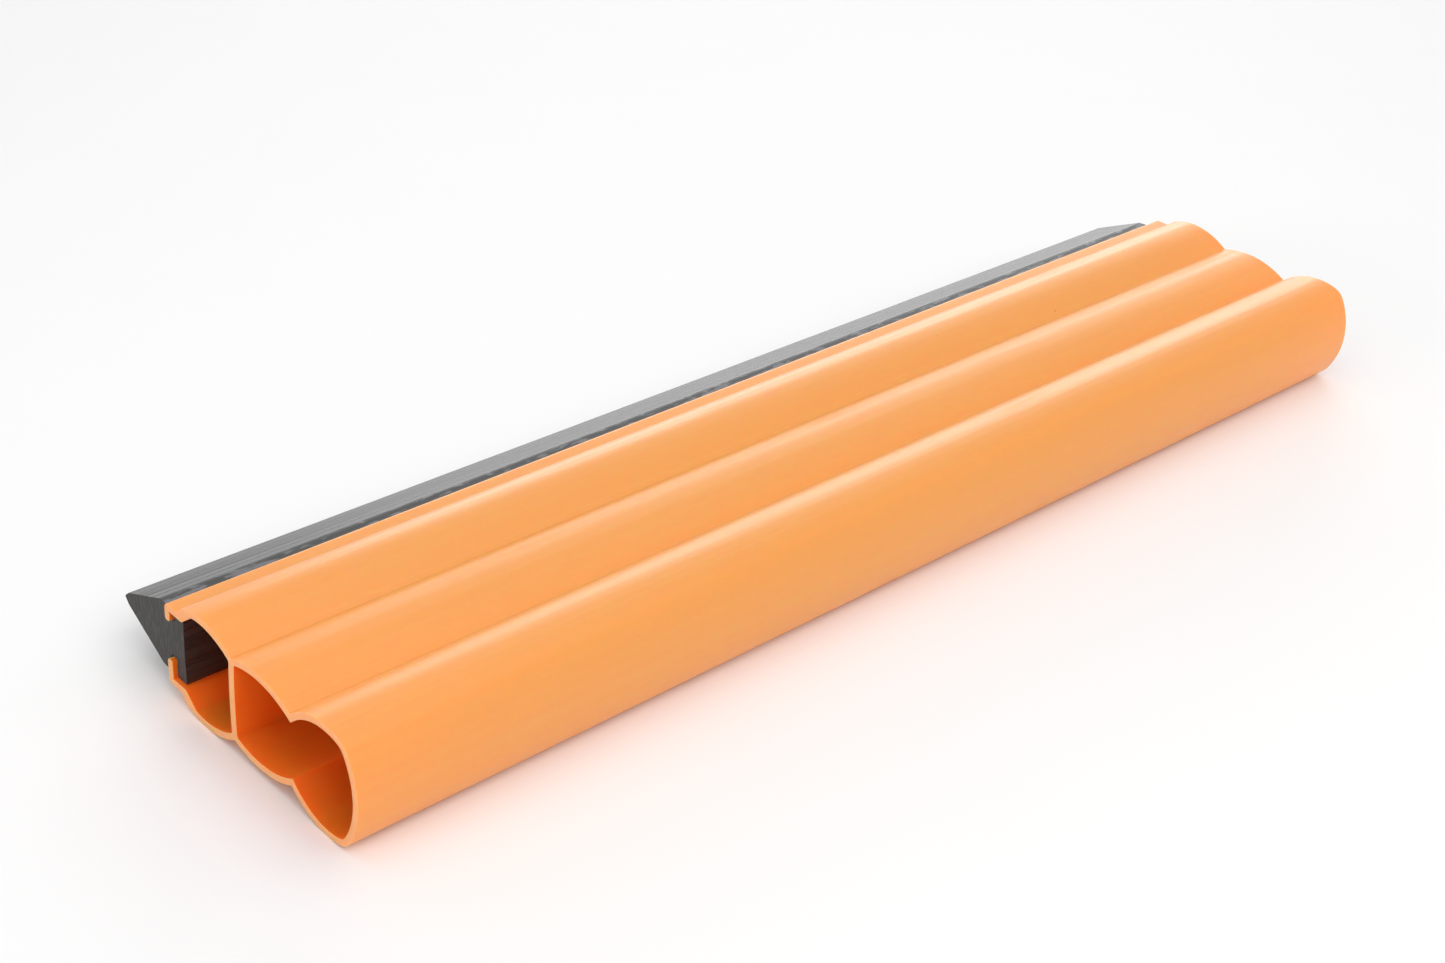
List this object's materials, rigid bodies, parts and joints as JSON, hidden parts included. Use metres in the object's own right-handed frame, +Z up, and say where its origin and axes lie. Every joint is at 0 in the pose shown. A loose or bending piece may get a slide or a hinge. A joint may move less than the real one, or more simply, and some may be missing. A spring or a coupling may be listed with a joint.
{
  "type": "squeegee trowel",
  "caption": "Hand tool for spreading and smoothing filler: a hollow finger-grooved extruded handle that holds a wedge-shaped rubber blade in a T-slot.",
  "frame": {"origin": "middle of the length and of the depth, on the plane that the front and rear lobes of the handle rest on", "axes": "+X along the length, +Y from the blade's tip to the back of the handle, +Z up through the thickness"},
  "size_m": [0.457, 0.1199, 0.0378],
  "materials": {
    "handle_plastic": "smooth satin extruded plastic, sawn ends",
    "blade_rubber": "smooth black rubber, sawn ends"
  },
  "bodies": {
    "handle": {"handle": "handle_plastic"},
    "blade": {"blade": "blade_rubber"}
  },
  "joints": [
    {"name": "blade_slide", "type": "slide", "parent": "handle", "child": "blade", "axis": [1, 0, 0], "range_m": [-0.457, 0.457]}
  ]
}
